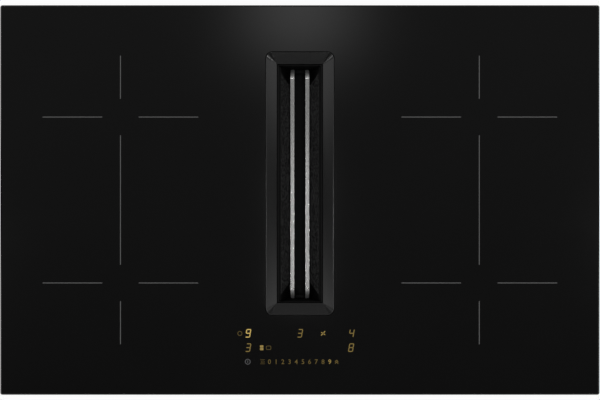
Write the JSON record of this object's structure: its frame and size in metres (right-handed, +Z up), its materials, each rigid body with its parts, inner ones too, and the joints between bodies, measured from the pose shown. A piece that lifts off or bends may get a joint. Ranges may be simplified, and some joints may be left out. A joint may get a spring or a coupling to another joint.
{
  "type": "downdraft induction cooktop",
  "caption": "Black glass induction cooktop with a sunken central air intake, steel bar grille, V-shaped grease filter and a radial blower under it.",
  "frame": {"origin": "under the middle of the glass, level with the flat underside of the lower casing", "axes": "+X to the user's right along the glass's long side, +Y to the rear, +Z up"},
  "size_m": [0.8, 0.52, 0.2049],
  "materials": {
    "black_glass": "polished, with a ground rim",
    "zone_print": "screen-printed grey enamel, fired on",
    "display_light": "amber light through black glass",
    "black_trim": "matte black, fine grain",
    "brushed_steel": "brushed along the bar",
    "filter_mesh": "woven layers, black",
    "black_plastic": "moulded, satin",
    "grey_plastic": "moulded, satin",
    "white_plastic": "moulded, matte",
    "zinc_sheet": "zinc-coated sheet with faint spangle",
    "aluminium": "mill finish",
    "copper_litz": "lacquered stranded copper",
    "mica": "pressed mica, matte",
    "circuit_board": "solder mask",
    "rubber": "foamed, matte",
    "bolt_steel": "zinc-plated"
  },
  "bodies": {
    "hob": {"glass_top": "black_glass", "worktop_sealing_tape": "rubber", "intake_trim_frame": "black_trim", "intake_shaft": "black_plastic", "shaft_seal": "rubber", "overflow_tray": "grey_plastic", "upper_casing": "zinc_sheet", "left_coil_deck": "aluminium", "right_coil_deck": "aluminium", "front_left_coil_carrier": "white_plastic", "rear_left_coil_carrier": "white_plastic", "front_right_coil_carrier": "white_plastic", "rear_right_coil_carrier": "white_plastic", "front_left_coil_winding": "copper_litz", "rear_left_coil_winding": "copper_litz", "front_right_coil_winding": "copper_litz", "rear_right_coil_winding": "copper_litz", "left_mica_sheet": "mica", "right_mica_sheet": "mica", "left_inverter_board": "circuit_board", "right_inverter_board": "circuit_board", "left_heat_sink": "aluminium", "right_heat_sink": "aluminium", "left_fan_housing": "black_plastic", "right_fan_housing": "black_plastic", "touch_board": "circuit_board", "display_light_guide": "white_plastic", "terminal_box": "black_plastic", "terminal_box_lid": "black_plastic", "terminal_block": "white_plastic", "cable_gland": "black_plastic", "lower_casing": "black_plastic", "lower_casing_cover": "grey_plastic", "blower_scroll": "grey_plastic", "blower_motor": "bolt_steel", "blower_driver_board": "circuit_board", "outlet_duct": "grey_plastic", "flap_pin": "bolt_steel", "front_left_clamp_screw": "bolt_steel", "rear_left_clamp_screw": "bolt_steel", "front_right_clamp_screw": "bolt_steel", "rear_right_clamp_screw": "bolt_steel"},
    "grease_filter": {"filter_rim": "black_trim", "filter_frame": "black_trim", "left_filter_pack": "filter_mesh", "right_filter_pack": "filter_mesh", "drip_trough": "black_trim"},
    "grille": {"grille_left_bar": "brushed_steel", "grille_right_bar": "brushed_steel", "grille_front_bridge": "black_trim", "grille_rear_bridge": "black_trim"},
    "blower_rotor": {"blower_wheel": "black_plastic", "motor_shaft": "bolt_steel"},
    "left_fan": {"left_fan_rotor": "grey_plastic"},
    "right_fan": {"right_fan_rotor": "grey_plastic"},
    "flap": {"outlet_flap": "black_plastic"},
    "front_left_claw": {"front_left_clamp": "zinc_sheet"},
    "rear_left_claw": {"rear_left_clamp": "zinc_sheet"},
    "front_right_claw": {"front_right_clamp": "zinc_sheet"},
    "rear_right_claw": {"rear_right_clamp": "zinc_sheet"}
  },
  "joints": [
    {"name": "filter_lift", "type": "slide", "parent": "hob", "child": "grease_filter", "axis": [0, 0, 1], "range_m": [0, 0.08]},
    {"name": "grille_lift", "type": "slide", "parent": "grease_filter", "child": "grille", "axis": [0, 0, 1], "range_m": [0, 0.06]},
    {"name": "blower_spin", "type": "hinge", "parent": "hob", "child": "blower_rotor", "pos_m": [-0.045, -0.03, 0.05], "axis": [0, 0, 1], "continuous": true},
    {"name": "left_fan_spin", "type": "hinge", "parent": "hob", "child": "left_fan", "pos_m": [-0.25, 0.095, 0.155], "axis": [0, 0, 1], "continuous": true},
    {"name": "right_fan_spin", "type": "hinge", "parent": "hob", "child": "right_fan", "pos_m": [0.25, 0.095, 0.155], "axis": [0, 0, 1], "continuous": true},
    {"name": "flap_swing", "type": "hinge", "parent": "hob", "child": "flap", "pos_m": [0, 0.1715, 0.0885], "axis": [1, 0, 0], "range_deg": [0, 70]},
    {"name": "front_left_clamp_swing", "type": "hinge", "parent": "hob", "child": "front_left_claw", "pos_m": [-0.372, -0.205, 0.125], "axis": [0, 0, 1], "range_deg": [0, 90]},
    {"name": "rear_left_clamp_swing", "type": "hinge", "parent": "hob", "child": "rear_left_claw", "pos_m": [-0.372, 0.205, 0.125], "axis": [0, 0, 1], "range_deg": [-90, 0]},
    {"name": "front_right_clamp_swing", "type": "hinge", "parent": "hob", "child": "front_right_claw", "pos_m": [0.372, -0.205, 0.125], "axis": [0, 0, 1], "range_deg": [-90, 0]},
    {"name": "rear_right_clamp_swing", "type": "hinge", "parent": "hob", "child": "rear_right_claw", "pos_m": [0.372, 0.205, 0.125], "axis": [0, 0, 1], "range_deg": [0, 90]}
  ]
}
